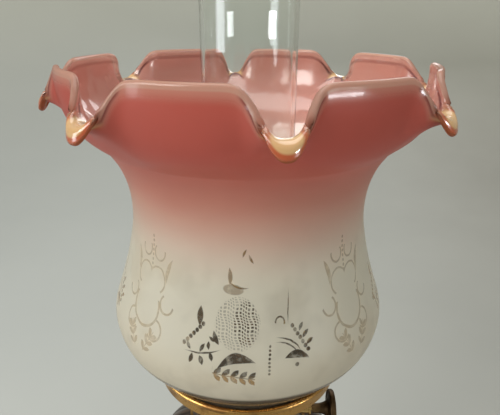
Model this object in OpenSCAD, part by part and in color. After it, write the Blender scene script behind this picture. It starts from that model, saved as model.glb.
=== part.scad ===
// Table oil lamp with a two-wick (duplex) burner, glass chimney and frilled glass shade.
// Millimetres, +Z up. The origin is the centre of the face that the lamp stands on.
// The burner's winders point along +X and its extinguisher lever along -X.

/* [Base] */
// Radius of the plinth at its foot
base_r = 80; // [70:1:100]
// Height of the plinth
base_h = 41.6; // [40:0.2:55]
// Radius of the plinth's top, where the column stands
base_top_r = 24; // [22:1:34]
// Thickness of the baize pad under the plinth
pad_t = 2.4; // [1.6:0.2:4]
// Height of the iron weight
weight_h = 12; // [8:0.5:16]

/* [Column] */
// Height of the column's foot casting
column_foot_h = 16; // [12:1:24]
// Height of the fluted shaft
column_h = 74; // [60:1:120]
// Height of the column's cap
column_cap_h = 13; // [10:1:20]
// Radius of the shaft over its flutes
column_r = 12.8; // [11:0.2:16]
// Radius of one flute
flute_r = 1.7; // [1.2:0.1:1.7]
// Number of flutes round the shaft
flute_count = 16; // [12:1:18]
// Radius of the tie rod
rod_r = 3.9; // [3:0.1:5]

/* [Font] */
// Largest radius of the font, the oil reservoir
font_r = 71; // [60:1:90]
// Height of the font from its base to its neck rim
font_h = 111; // [95:1:140]
// Height of the font's widest place above its base
font_equator_h = 51; // [44:1:60]
// Wall of the font
font_wall = 1.4; // [1:0.1:3]
// Radius of the font's neck, outside
neck_r = 28.6; // [28:0.1:32]
// Height of the straight neck
neck_h = 6; // [5:0.5:10]

/* [Burner] */
// Room in the drum above the draught plate
drum_head = 4; // [3:0.2:12]
// Outer radius of the drum
drum_r = 34.2; // [33:0.2:40]
// Thickness of the pressed brass sheet
sheet_t = 1; // [0.8:0.1:1.4]
// Radius of one air hole in the drum
air_hole_r = 1.3; // [0.9:0.1:1.6]
// Number of air holes in one row
air_hole_count = 36; // [24:1:40]
// Width of a wick
wick_w = 25.4; // [20:0.2:28]
// Thickness of a wick
wick_t = 2.8; // [2:0.1:3.4]
// Distance between the two wicks
wick_pitch = 16; // [15:0.5:20]
// Length of a wick below the burner's floor
wick_tail = 92; // [60:1:95]
// Radius of a winder shaft
shaft_r = 1.5; // [1.2:0.1:2]
// Radius of a spur wheel, tip to centre
spur_r = 4.5; // [4:0.1:5.2]
// Teeth on a spur wheel
spur_teeth = 12; // [8:1:16]
// Radius of a winder's thumb wheel
winder_r = 10.8; // [9:0.2:12]
// How far the front winder's thumb wheel stands out from the drum
winder_out = 15.3; // [12:0.1:22]
// How much shorter the rear winder is
winder_step = 4; // [0:0.5:6]
// Travel of the extinguisher sleeves
snuff_travel = 7; // [5:0.5:8]

/* [Gallery] */
// Width of the gallery's pan, from the drum out to the shade's foot
pan_w = 15.4; // [13:0.2:22]
// Radius of the rolled bead on the shade ring
bead_r = 1.5; // [1:0.1:2.5]
// Number of slots pierced in the gallery
slot_count = 40; // [24:1:44]
// Width of one slot
slot_w = 4.2; // [2:0.1:4.6]
// Number of prongs that grip the chimney
prong_count = 6; // [4:1:8]
// Width of one prong
prong_w = 9; // [6:0.5:12]
// Height of the prongs above the gallery
prong_h = 24; // [16:1:30]

/* [Chimney] */
// How much smaller the chimney's foot is than the drum, in radius
chimney_inset = 2.45; // [2.2:0.05:3.5]
// How far the chimney's bulge stands out beyond its foot
chimney_swell = 6.75; // [0:0.25:12]
// Outer radius of the chimney's tube
chimney_tube_r = 22.8; // [20:0.2:28]
// Height of the chimney
chimney_h = 261.2; // [220:1:310]
// Wall of the chimney
chimney_wall = 2; // [1.6:0.1:2.2]

/* [Shade] */
// Wall of the shade
shade_wall = 2.8; // [2:0.1:3.4]
// Outer radius of the shade's bulge
shade_bulge_r = 72.2; // [66:0.5:86]
// Outer radius of the shade's waist
shade_waist_r = 59; // [52:0.5:70]
// Radius of the frill at the top of its lobes
frill_lobe_r = 86.4; // [80:0.5:100]
// Radius of the frill at the lip of its dips
frill_dip_r = 97.6; // [92:0.5:115]
// Height of the shade from its foot to the top of the lobes
shade_h = 170; // [160:1:205]
// Number of lobes, and of dips between them
lobe_count = 8; // [6:1:10]
// Turn of the first dip from the lamp's front, in degrees
frill_turn = 7; // [0:1:22]

/* [Fits] */
// Running clearance of a shaft in its bore
run_gap = 0.06; // [0.02:0.01:0.1]
// Loose clearance between pieces that lift or slide
slip_gap = 0.4; // [0.3:0.05:0.6]

/* [Hidden] */
$fn = 96;

// Levels, from the bottom up
base_top = pad_t + base_h;
foot_top = base_top + column_foot_h;
shaft_top = foot_top + column_h;
cap_top = shaft_top + column_cap_h;
cup_floor_t = 8;
font_base = cap_top + cup_floor_t;
font_top = font_base + font_h;
collar_lip_t = 4;
collar_top = font_top + collar_lip_t;
floor_t = 1.2;
floor_top = collar_top + floor_t;
shaft_rise = 13.6;
shaft_z = floor_top + shaft_rise;
bridge_t = 1.5;
sleeve_base = shaft_z + 7.2;
draught_z = sleeve_base + bridge_t + snuff_travel + 1.5;
drum_top = draught_z + drum_head;
skirt_top = drum_top + sheet_t;
pan_top = skirt_top + sheet_t;
coronet_floor = pan_top + 0.8;
ledge_rise = 4;
ledge_top = pan_top + ledge_rise;
ring_z = ledge_top + 6.5;

// Tie rod and its hardware under the plinth
rod_gap = 0.1;
rod_seat = 6;
washer_t = 1.6;
weight_r = base_top_r + 5.5;
weight_top = pad_t + base_h * 0.71;
weight_base = weight_top - weight_h;
nut_h = 6;
nut_across = 15;
rod_base = weight_base - washer_t - nut_h - 2;
rod_top = font_base + rod_seat - 0.6;

// Font, collar and burner floor
collar_r = neck_r + 2.9;
plug_clear = 0.2;
plug_r = neck_r - font_wall - 1.1;
collar_bore_r = plug_r + plug_clear;

// Wicks, their tubes and the spurs that drive them
tube_wall = 0.8;
tube_gap = 0.4;
tube_w = wick_w + 2 * (tube_gap + tube_wall);
tube_t = wick_t + 2 * (tube_gap + tube_wall);
tube_top = drum_top + 16;
tube_base = collar_top - 14;
wick_rise = 2;
wick_y = wick_pitch / 2;
spur_gap = 0.2;
shaft_y = wick_y + wick_t / 2 + spur_gap + spur_r;
spur_t = 3;
spur_x = 8;
ear_t = 2;
ear_x = tube_w / 2 - 1.6;
shaft_start = ear_x + ear_t / 2 + 2;
bush_r = 3;
bush_x0 = drum_r - 6.7;
bush_x1 = drum_r + 2;
shaft_hub_gap = 1;

// Extinguisher
sleeve_w = tube_w + 2 * (slip_gap + 0.7);
sleeve_t = tube_t + 2 * (slip_gap + 0.7);
sleeve_wall = 0.7;
sleeve_h = tube_top - 4.5 - sleeve_base;
lug_x = sleeve_w / 2 + 4.4;
pivot_x = drum_r + 4;
lever_arm = pivot_x - sleeve_w / 2 - 3;
lever_t = 2;
lever_w = 4;
lever_lift = asin(snuff_travel / 2 / lever_arm);
lever_gap = 0.5;
pivot_z = sleeve_base - lever_gap - lever_t / 2 + snuff_travel / 2;
pin_r = 1.2;

// Gallery, and the feet of the glass that stands in it
chimney_foot_r = drum_r - chimney_inset;
shade_foot_r = drum_r + pan_w;
skirt_r = drum_r + slip_gap + sheet_t;
flange_r = skirt_r + 3.2;
cone_r = chimney_foot_r - chimney_wall - 2.3;
cone_flange_r = cone_r + 2.2;
pan_bore_r = cone_flange_r + 0.6;
coronet_r = chimney_foot_r + slip_gap;
coronet_t = 1;
slot_r0 = flange_r + 1.2;
slot_r1 = shade_foot_r - shade_wall - 0.8;
ring_bore_r = shade_foot_r + 1;
rivet_r = 0.8;
rivet_head_r = 1.2;
cone_top = tube_top + 14;
cone_h = cone_top - skirt_top;

// ---- helpers ----

function mix(a, b, t) = a + (b - a) * t;
function ease(t) = (1 - cos(180 * t)) / 2;

// A smooth curve through the points p, with n steps between each pair
function spline(p, n) = concat(
    [for (i = [0:len(p) - 2], k = [0:n - 1])
        let (a = p[max(i - 1, 0)], b = p[i], c = p[i + 1], d = p[min(i + 2, len(p) - 1)], t = k / n)
        0.5 * (2 * b + (c - a) * t + (2 * a - 5 * b + 4 * c - d) * t * t
               + (3 * b - a - 3 * c + d) * t * t * t)],
    [p[len(p) - 1]]);

function reversed(p) = [for (i = [len(p) - 1:-1:0]) p[i]];

module turned(points) { rotate_extrude() polygon(points); }

module ring(r_in, r_out, z0, z1) {
    translate([0, 0, z0]) difference() {
        cylinder(r = r_out, h = z1 - z0);
        translate([0, 0, -1]) cylinder(r = r_in, h = z1 - z0 + 2);
    }
}

// A flat tube's outline: w across, t thick, with square corners, centred on y
module bar(w, t, y, z0, z1) { translate([-w / 2, y - t / 2, z0]) cube([w, t, z1 - z0]); }

module along_x(x0, x1, r, y, z) { translate([x0, y, z]) rotate([0, 90, 0]) cylinder(r = r, h = x1 - x0); }

module spaced(count, turn = 0) { for (i = [0:count - 1]) rotate([0, 0, turn + i * 360 / count]) children(); }

// ---- base ----

module base_pad() { color("darkolivegreen") cylinder(r = base_r - 1.5, h = pad_t); }

function plinth_z(share) = pad_t + base_h * share;
plinth_side = spline([[base_r, pad_t], [base_r, plinth_z(0.144)], [base_r - 2.5, plinth_z(0.216)],
                      [base_r - 7, plinth_z(0.252)], [base_r - 9, plinth_z(0.36)],
                      [base_r - 16, plinth_z(0.493)], [base_r - 32, plinth_z(0.613)],
                      [base_top_r + 10, plinth_z(0.736)], [base_top_r + 3, plinth_z(0.856)],
                      [base_top_r, base_top]], 4);

module base_plinth() {
    color([0.06, 0.06, 0.07]) difference() {
        turned(concat([[0, pad_t]], plinth_side, [[0, base_top]]));
        translate([0, 0, pad_t - 1]) cylinder(r = base_r - 14, h = plinth_z(0.216) - pad_t + 1);
        translate([0, 0, pad_t - 1]) cylinder(r = weight_r + 6, h = weight_base - pad_t + 1);
        translate([0, 0, weight_base - 1]) cylinder(r = weight_r, h = weight_h + 1);
        cylinder(r = rod_r + 0.6, h = base_top + 1);
    }
}

module base_weight() { color("dimgray") ring(rod_r + 0.4, weight_r - 0.3, weight_base, weight_top - 0.2); }

module base_washer() { color("silver") ring(rod_r + 0.3, weight_r + 4, weight_base - washer_t, weight_base); }

module base_nut() {
    color("goldenrod") translate([0, 0, weight_base - washer_t - nut_h]) difference() {
        cylinder(r = nut_across / 2 / cos(30), h = nut_h, $fn = 6);
        translate([0, 0, -1]) cylinder(r = rod_r + rod_gap, h = nut_h + 2);
    }
}

module tie_rod() { color("silver") translate([0, 0, rod_base]) cylinder(r = rod_r, h = rod_top - rod_base); }

// ---- column ----

flute_out = 0.4;

module column_foot() {
    side = spline([[base_top_r - 1, base_top], [base_top_r - 1, base_top + 3],
                   [base_top_r - 4, base_top + 5], [column_r + 3, base_top + 9],
                   [column_r + 2.5, foot_top - 3], [column_r + 4, foot_top - 1.5],
                   [column_r + 3, foot_top + 2]], 4);
    color("darkgoldenrod") difference() {
        turned(concat([[0, base_top]], side, [[0, foot_top + 2]]));
        translate([0, 0, foot_top]) cylinder(r = column_r + 0.2, h = 5);
        translate([0, 0, base_top - 1]) cylinder(r = rod_r + 0.6, h = column_foot_h + 5);
    }
}

module column_shaft() {
    color("peru") difference() {
        translate([0, 0, foot_top]) cylinder(r = column_r, h = column_h);
        spaced(flute_count) translate([column_r + flute_out, 0, foot_top - 1])
            cylinder(r = flute_r, h = column_h + 2, $fn = 32);
        translate([0, 0, foot_top - 1]) cylinder(r = rod_r + 2, h = column_h + 2);
    }
}

module column_cap() {
    side = spline([[column_r + 3, shaft_top - 2], [column_r + 4, shaft_top + 1.5],
                   [column_r + 1, shaft_top + 4], [column_r + 3, shaft_top + 7],
                   [column_r + 7, cap_top - 3], [column_r + 7, cap_top]], 4);
    color("darkgoldenrod") difference() {
        turned(concat([[0, shaft_top - 2]], side, [[0, cap_top]]));
        translate([0, 0, shaft_top - 3]) cylinder(r = column_r + 0.2, h = 3);
        translate([0, 0, shaft_top - 1]) cylinder(r = rod_r + 0.6, h = column_cap_h + 3);
    }
}

// ---- font ----

// The font's side is two half ellipses that meet at its widest place
shoulder_h = font_h - font_equator_h - neck_h;
shoulder_b = shoulder_h / sqrt(1 - pow(neck_r / font_r, 2));
belly_b = font_equator_h + 1;
function font_side_r(h, r = font_r) = h < font_equator_h
    ? r * sqrt(max(0, 1 - pow((font_equator_h - h) / belly_b, 2)))
    : r * sqrt(max(0, 1 - pow((h - font_equator_h) / shoulder_b, 2)));
font_steps = 40;
shoulder_top_h = font_h - neck_h;
font_heights = [for (i = [0:font_steps]) shoulder_top_h * ease(i / font_steps)];
boss_r = rod_r + 5;

module font() {
    outer = [for (h = font_heights) [font_side_r(h), font_base + h]];
    inner = [for (h = font_heights) if (h > font_wall + 0.5 && h < shoulder_top_h - 0.5)
             [font_side_r(h) - font_wall * 1.15, font_base + h]];
    color([0.24, 0.16, 0.10]) difference() {
        union() {
            turned(concat([[0, font_base]], outer, [[neck_r, font_top], [neck_r - font_wall, font_top],
                          [neck_r - font_wall, font_base + shoulder_top_h - 1]],
                          reversed(inner), [[0, inner[0][1]]]));
            translate([0, 0, font_base + 1]) cylinder(r = boss_r, h = rod_seat + 2);
        }
        translate([0, 0, font_base - 1]) cylinder(r = rod_r + rod_gap, h = rod_seat + 1);
    }
}

// The cup under the font follows the font's side with a small gap
cup_h = 13;
cup_gap = 0.25;
cup_stem_r = column_r + 4;

module font_cup() {
    heights = [for (i = [0:8]) cup_h * i / 8];
    seat = [for (h = heights) [font_side_r(h) + cup_gap + 0.2, font_base + h - cup_gap]];
    rim_r = seat[8][0];
    side = spline([[cup_stem_r, cap_top], [cup_stem_r + 1, cap_top + 2.5],
                   [seat[2][0] + 2, font_base - 1.5], [seat[5][0] + 2.2, font_base + cup_h * 0.42],
                   [rim_r + 2.4, font_base + cup_h - 1.6], [rim_r + 1.4, font_base + cup_h - cup_gap]], 4);
    color("darkgoldenrod") difference() {
        turned(concat([[0, cap_top]], side, reversed(seat), [[0, font_base - cup_gap]]));
        translate([0, 0, cap_top - 1]) cylinder(r = rod_r + 0.6, h = cup_floor_t + 3);
    }
}

module font_collar() {
    color("goldenrod") {
        ring(neck_r + 0.1, collar_r, font_top - neck_h + 1, font_top);
        ring(collar_bore_r, collar_r, font_top, collar_top);
        ring(neck_r + 0.1, collar_r + 1.2, font_top - neck_h + 1, font_top - neck_h + 3);
    }
}

// ---- burner ----

module tube_holes(gap, z0, z1) {
    for (side = [-1, 1]) bar(tube_w + 2 * gap, tube_t + 2 * gap, side * wick_y, z0, z1);
}

module burner_base() {
    color("goldenrod") difference() {
        union() {
            translate([0, 0, collar_top]) cylinder(r = drum_r + 1.6, h = floor_t);
            translate([0, 0, collar_top - 9]) cylinder(r = plug_r, h = 9.5);
        }
        translate([0, 0, collar_top - 10]) cylinder(r = plug_r - 1.2, h = 10);
        tube_holes(0, collar_top - 1, floor_top + 1);
    }
}

air_rows = [5, drum_top - floor_top - 13.2, drum_top - floor_top - 8.6];
screw_r = 0.7;
screw_z = floor_top + 1.9;

module burner_drum() {
    color("goldenrod") difference() {
        union() {
            ring(drum_r - sheet_t, drum_r, floor_top, drum_top);
            ring(drum_r - 3.4, drum_r, drum_top - sheet_t, drum_top);
        }
        for (row = [0:len(air_rows) - 1]) spaced(air_hole_count, (row % 2 + 0.5) * 180 / air_hole_count)
            along_x(drum_r - 3, drum_r + 2, air_hole_r, 0, floor_top + air_rows[row]);
        for (side = [-1, 1]) along_x(0, drum_r + 2, bush_r, side * shaft_y, shaft_z);
        spaced(3, 90) along_x(drum_r - 3, drum_r + 2, screw_r, 0, screw_z);
        translate([-drum_r - 2, -lever_w / 2 - 1.2, pivot_z - 7.5]) cube([6, lever_w + 2.4, 13]);
    }
}

module draught_plate() {
    hole_ring_r = sleeve_w / 2 + 7;
    color("darkgoldenrod") difference() {
        ring(0, drum_r - sheet_t, draught_z, draught_z + 0.8);
        for (side = [-1, 1])
            bar(sleeve_w + 0.8, sleeve_t + 0.8, side * wick_y, draught_z - 1, draught_z + 2);
        spaced(24, 7.5) translate([hole_ring_r, 0, draught_z - 1]) cylinder(r = 1.4, h = 3, $fn = 24);
    }
}

module wick_tube(side) {
    window_w = spur_t + 2.4;
    color("goldenrod") difference() {
        union() {
            bar(tube_w, tube_t, side * wick_y, tube_base, tube_top);
            for (end = [-1, 1]) translate([end * ear_x - ear_t / 2,
                side > 0 ? wick_y : -shaft_y - 3, shaft_z - 3.2])
                cube([ear_t, shaft_y - wick_y + 3, 6.4]);
        }
        bar(tube_w - 2 * tube_wall, tube_t - 2 * tube_wall, side * wick_y, tube_base - 1, tube_top + 1);
        for (end = [-1, 1]) translate([end * spur_x - window_w / 2,
            side > 0 ? wick_y + wick_t / 2 : -wick_y - wick_t / 2 - 4, shaft_z - 4.4])
            cube([window_w, 4, 8.8]);
        along_x(-shaft_start - 2, shaft_start + 2, shaft_r + run_gap, side * shaft_y, shaft_z);
    }
}

module wick(side) {
    color("antiquewhite") bar(wick_w, wick_t, side * wick_y, floor_top - wick_tail, tube_top + wick_rise);
}

module winder_bushes() {
    color("darkgoldenrod") for (side = [-1, 1]) difference() {
        union() {
            along_x(bush_x0, bush_x1, bush_r, side * shaft_y, shaft_z);
            along_x(bush_x1, bush_x1 + 1, bush_r + 0.9, side * shaft_y, shaft_z);
        }
        along_x(bush_x0 - 1, bush_x1 + 2, shaft_r + run_gap, side * shaft_y, shaft_z);
    }
}

function reach(side) = drum_r + winder_out - (side < 0 ? 0 : winder_step);

module winder_shaft(side) {
    color("goldenrod") along_x(-shaft_start, reach(side) + 1, shaft_r, side * shaft_y, shaft_z);
}

// A thin dished wheel on a trumpet-shaped hub, with a rolled rim
module winder_wheel(side) {
    hub_x = bush_x1 + 1 + shaft_hub_gap;
    face_x = reach(side);
    flare = spline([[hub_x, shaft_r + 1.2], [mix(hub_x, face_x, 0.45), shaft_r + 1.5],
                    [face_x - 2.6, shaft_r + 3.2], [face_x - 1.2, winder_r - 2.2]], 5);
    outline = concat([[shaft_r, hub_x]], [for (p = flare) [p[1], p[0]]],
                     [[winder_r - 0.6, face_x - 1.6], [winder_r, face_x - 0.9], [winder_r, face_x + 0.9],
                      [winder_r - 0.6, face_x + 1.6], [winder_r - 1.6, face_x + 1.2],
                      [winder_r - 2.4, face_x + 0.2], [shaft_r + 2, face_x - 0.2],
                      [shaft_r + 1.4, face_x + 1.4], [shaft_r, face_x + 1.4]]);
    color("goldenrod") translate([0, side * shaft_y, shaft_z]) rotate([0, 90, 0]) turned(outline);
}

module spur_wheels(side) {
    color("darkgoldenrod") for (end = [-1, 1])
        translate([end * spur_x - spur_t / 2, side * shaft_y, shaft_z]) rotate([0, 90, 0]) difference() {
            linear_extrude(spur_t) polygon([for (i = [0:spur_teeth - 1], k = [0:3])
                let (a = (i + [0, 0.34, 0.5, 0.84][k]) * 360 / spur_teeth, r = k < 2 ? spur_r - 1.1 : spur_r)
                [r * cos(a), r * sin(a)]]);
            translate([0, 0, -1]) cylinder(r = shaft_r, h = spur_t + 2);
        }
}

module drum_screws() {
    color("silver") spaced(3, 90) {
        along_x(drum_r, drum_r + 1, 2 * screw_r, 0, screw_z);
        along_x(drum_r - sheet_t, drum_r, screw_r, 0, screw_z);
    }
}

// ---- extinguisher ----

module extinguisher_sleeves() {
    inner_w = sleeve_w - 2 * sleeve_wall;
    inner_t = sleeve_t - 2 * sleeve_wall;
    span = wick_pitch + sleeve_t;
    color("darkgoldenrod") difference() {
        union() {
            for (side = [-1, 1]) bar(sleeve_w, sleeve_t, side * wick_y, sleeve_base, sleeve_base + sleeve_h);
            translate([-lug_x, -span / 2, sleeve_base]) cube([lug_x + sleeve_w / 2, span, bridge_t]);
        }
        for (side = [-1, 1]) bar(inner_w, inner_t, side * wick_y, sleeve_base - 1, sleeve_base + sleeve_h + 1);
    }
}

module extinguisher_bracket() {
    ear_y = lever_w / 2 + slip_gap + 0.4;
    color("goldenrod") difference() {
        for (side = [-1, 1]) translate([-pivot_x - 2.4, side * (ear_y + 0.5) - 0.5, pivot_z - 4])
            cube([pivot_x + 2.4 - drum_r + 0.06, 1, 7]);
        translate([-pivot_x, -10, pivot_z]) rotate([-90, 0, 0]) cylinder(r = pin_r, h = 20);
        translate([0, 0, pivot_z - 6]) cylinder(r = drum_r, h = 12);
    }
}

module extinguisher_pin() {
    half = lever_w / 2 + slip_gap + 2.2;
    color("silver") translate([-pivot_x, -half, pivot_z]) rotate([-90, 0, 0]) cylinder(r = pin_r, h = 2 * half);
}

// The inner arm hangs a little at rest; pressing the thumb pad lifts it
module extinguisher_lever() {
    outer_arm = 12;
    pad_r = 4.6;
    color("goldenrod") translate([-pivot_x, 0, pivot_z]) rotate([0, lever_lift, 0]) difference() {
        union() {
            translate([-outer_arm, -lever_w / 2, -lever_t / 2]) cube([outer_arm + lever_arm, lever_w, lever_t]);
            translate([0, -lever_w / 2, 0]) rotate([-90, 0, 0]) cylinder(r = 2.6, h = lever_w);
            translate([-outer_arm, 0, -lever_t / 2]) cylinder(r = pad_r, h = lever_t);
        }
        translate([0, -10, 0]) rotate([-90, 0, 0]) cylinder(r = pin_r + run_gap, h = 20);
    }
}

// ---- gallery ----

module gallery_skirt() {
    color("goldenrod") difference() {
        union() {
            ring(skirt_r - sheet_t, skirt_r, drum_top - 6, drum_top + 0.1);
            ring(cone_r - 1.2, flange_r, drum_top, skirt_top);
        }
        rivet_holes();
    }
}

module rivet_holes() {
    spaced(4, 45) translate([flange_r - 1.6, 0, drum_top - 2]) cylinder(r = rivet_r, h = 8, $fn = 24);
    spaced(4) translate([cone_r + 1.2, 0, drum_top - 2]) cylinder(r = rivet_r - 0.2, h = 8, $fn = 24);
}

module shade_gallery() {
    wall_r = ring_bore_r + sheet_t;
    under = -sheet_t;
    color("goldenrod") difference() {
        union() {
            turned([[pan_bore_r, pan_top + under], [slot_r0, pan_top + under], [slot_r1, ledge_top + under],
                    [wall_r, ledge_top + under], [wall_r, ring_z], [ring_bore_r, ring_z],
                    [ring_bore_r, ledge_top], [slot_r1 - 0.4, ledge_top], [slot_r0 - 0.4, pan_top],
                    [pan_bore_r, pan_top]]);
            rotate_extrude() translate([ring_bore_r + bead_r - 0.1, ring_z]) circle(r = bead_r, $fn = 32);
        }
        spaced(slot_count) translate([slot_r0 + 0.6, -slot_w / 2, pan_top - 4])
            cube([slot_r1 - slot_r0 - 1.2, slot_w, ledge_rise + 8]);
        rivet_holes();
    }
}

// A springy crown of prongs stands round the chimney's foot
module chimney_coronet() {
    wall = [[coronet_r, coronet_floor - 0.2], [coronet_r, coronet_floor + prong_h - 8],
            [coronet_r + 0.9, coronet_floor + prong_h - 3], [coronet_r + 3, coronet_floor + prong_h]];
    side = spline(wall, 3);
    outer = [for (p = reversed(side)) [p[0] + coronet_t, p[1]]];
    band_top = coronet_floor + 4.5;
    gap_a = 360 / prong_count;
    color("goldenrod") difference() {
        union() {
            turned(concat(side, outer));
            ring(pan_bore_r, flange_r, pan_top, coronet_floor);
        }
        spaced(prong_count, 90) rotate([0, 0, gap_a / 2]) prong_gap(band_top, gap_a);
        rivet_holes();
    }
}

// The space between two prongs: a wedge whose sides leave each prong its width
module prong_gap(z0, gap_a) {
    half_a = gap_a / 2 - asin(prong_w / 2 / coronet_r);
    far = coronet_r + 12;
    translate([0, 0, z0]) linear_extrude(prong_h + 4)
        polygon([[0, 0], far * [cos(half_a), -sin(half_a)], [far * 1.3, 0], far * [cos(half_a), sin(half_a)]]);
}

module deflector_cone() {
    outer = spline([[cone_r, skirt_top + 0.8], [cone_r - 0.6, skirt_top + cone_h * 0.45],
                    [cone_r * 0.87, skirt_top + cone_h * 0.7], [cone_r * 0.6, skirt_top + cone_h * 0.88],
                    [cone_r * 0.28, skirt_top + cone_h * 0.97], [0, cone_top]], 4);
    inner = [for (p = outer) if (p[0] > 1) [p[0] - 0.9, p[1] - 0.9]];
    color("darkgoldenrod") difference() {
        union() {
            turned(concat([[cone_r, skirt_top]], outer, [[0, cone_top - 0.9]], reversed(inner),
                          [[cone_r - 0.9, skirt_top]]));
            ring(cone_r - 0.5, cone_flange_r, skirt_top, skirt_top + 0.8);
        }
        for (side = [-1, 1]) bar(wick_w + 5, wick_t + 4.6, side * wick_y, skirt_top + cone_h * 0.55, cone_top + 1);
        rivet_holes();
    }
}

module rivets(r, count, turn, shank_r, z_top) {
    spaced(count, turn) translate([r, 0, 0]) {
        translate([0, 0, drum_top]) cylinder(r = shank_r, h = z_top - drum_top, $fn = 24);
        translate([0, 0, z_top]) cylinder(r = shank_r + 0.5, h = 0.6, $fn = 24);
    }
}

module gallery_rivets() { color("peru") rivets(flange_r - 1.6, 4, 45, rivet_r, coronet_floor); }

module cone_rivets() { color("peru") rivets(cone_r + 1.2, 4, 0, rivet_r - 0.2, skirt_top + 0.8); }

// ---- glass ----

chimney_base = coronet_floor;
chimney_bulge_r = chimney_foot_r + chimney_swell;
chimney_top = chimney_base + chimney_h;
foot_straight = 20;
bulge_at = 56;
tube_at = 114;

// The chimney's outer radius at a height above its foot
function chimney_r(h) = h < foot_straight ? chimney_foot_r
    : h < bulge_at ? mix(chimney_foot_r, chimney_bulge_r, ease((h - foot_straight) / (bulge_at - foot_straight)))
    : h < tube_at ? mix(chimney_bulge_r, chimney_tube_r, ease((h - bulge_at) / (tube_at - bulge_at)))
    : chimney_tube_r;

module chimney() {
    curve = [for (h = [foot_straight:3:tube_at - 1]) h];
    heights = concat([0], curve, [tube_at, chimney_h]);
    outer = [for (h = heights) [chimney_r(h), chimney_base + h]];
    inner = [for (h = heights) [chimney_r(h) - chimney_wall, chimney_base + h]];
    color([0.85, 0.92, 0.95, 0.35]) turned(concat(outer, reversed(inner)));
}

// Middle of the shade's wall, from its foot up to where the frill starts: [radius, height]
half_wall = shade_wall / 2;
foot_m = shade_foot_r - half_wall;
bulge_m = shade_bulge_r - half_wall;
waist_m = shade_waist_r - half_wall;
bulge_z = 44;
waist_z = 102;
flare_z = 134.6;
flare_m = waist_m + 10.8;
body_points = [[foot_m, 0], [foot_m, 7], [foot_m + 1.7, 11.6],
    [mix(foot_m, bulge_m, 0.28), 16.4], [mix(foot_m, bulge_m, 0.5), 20.3],
    [mix(foot_m, bulge_m, 0.68), 24.6], [mix(foot_m, bulge_m, 0.85), 30],
    [mix(foot_m, bulge_m, 0.955), 36.5], [bulge_m, bulge_z], [mix(waist_m, bulge_m, 0.91), 50.7],
    [mix(waist_m, bulge_m, 0.72), 58], [mix(waist_m, bulge_m, 0.53), 65.6],
    [mix(waist_m, bulge_m, 0.34), 74], [mix(waist_m, bulge_m, 0.167), 83.6],
    [mix(waist_m, bulge_m, 0.03), 93.8], [waist_m, waist_z], [waist_m + 0.6, 110.3],
    [waist_m + 2.4, 118.6], [waist_m + 5.8, 127], [flare_m, flare_z]];

// Above the flare the wall runs up to a lobe's top or out to a dip's lip
lobe_m = frill_lobe_r - half_wall;
dip_m = frill_dip_r - half_wall;
lobe_points = [[flare_m, flare_z], [mix(flare_m, lobe_m, 0.5), flare_z + 6.6],
    [mix(flare_m, lobe_m, 0.82), flare_z + 14], [lobe_m - 0.4, mix(flare_z, shade_h, 0.62)],
    [lobe_m + 0.4, mix(flare_z, shade_h, 0.82)], [lobe_m, shade_h - half_wall]];
dip_points = [[flare_m, flare_z], [mix(flare_m, dip_m, 0.33), flare_z + 8.4],
    [mix(flare_m, dip_m, 0.62), flare_z + 15.4], [mix(flare_m, dip_m, 0.84), flare_z + 18.6],
    [dip_m - 0.9, flare_z + 18], [dip_m, flare_z + 14.6]];

body_steps = 1;
frill_steps = 2;
body_curve = spline(body_points, body_steps);
lobe_curve = spline(lobe_points, frill_steps);
dip_curve = spline(dip_points, frill_steps);
body_rows = len(body_curve);
shade_rows = body_rows + len(lobe_curve) - 1;

// How much of a dip there is at an angle from the nearest dip: 1 in it, near 0 over a lobe
dip_sharpness = 7.6;
dip_roundness = 1.3;
function dip_share(a) = 1 - pow(1 - pow((1 + cos(lobe_count * a)) / 2, dip_sharpness), dip_roundness);

// Angles crowd towards each dip, where the wall turns most
steps_per_lobe = 12;
shade_cols = lobe_count * steps_per_lobe;
function column_angle(j) = let (k = round(j / steps_per_lobe), t = (j / steps_per_lobe - k) * 2)
    (k + sign(t) * pow(abs(t), 1.5) / 2) * 360 / lobe_count;

// A point of the wall's middle at row i, angle a
function wall_rz(i, a) = i < body_rows ? body_curve[i]
    : let (k = i - body_rows + 1) mix(lobe_curve[k], dip_curve[k], dip_share(a));
function wall_point(i, a) = let (p = wall_rz(i, a), b = a - 90 + frill_turn)
    [p[0] * cos(b), p[0] * sin(b), p[1] + ledge_top];
function unit(v) = v / norm(v);
function wall_normal(i, a) = unit(cross(
    wall_point(i, a + 0.5) - wall_point(i, a - 0.5),
    wall_point(min(i + 1, shade_rows - 1), a) - wall_point(max(i - 1, 0), a)));

// The foot is cut level: its first rows move straight out and in
function skin_point(i, a, side) = i < 2
    ? let (b = a - 90 + frill_turn, r = foot_m + side * half_wall) [r * cos(b), r * sin(b), wall_point(i, a)[2]]
    : wall_point(i, a) + side * half_wall * wall_normal(i, a);

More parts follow.
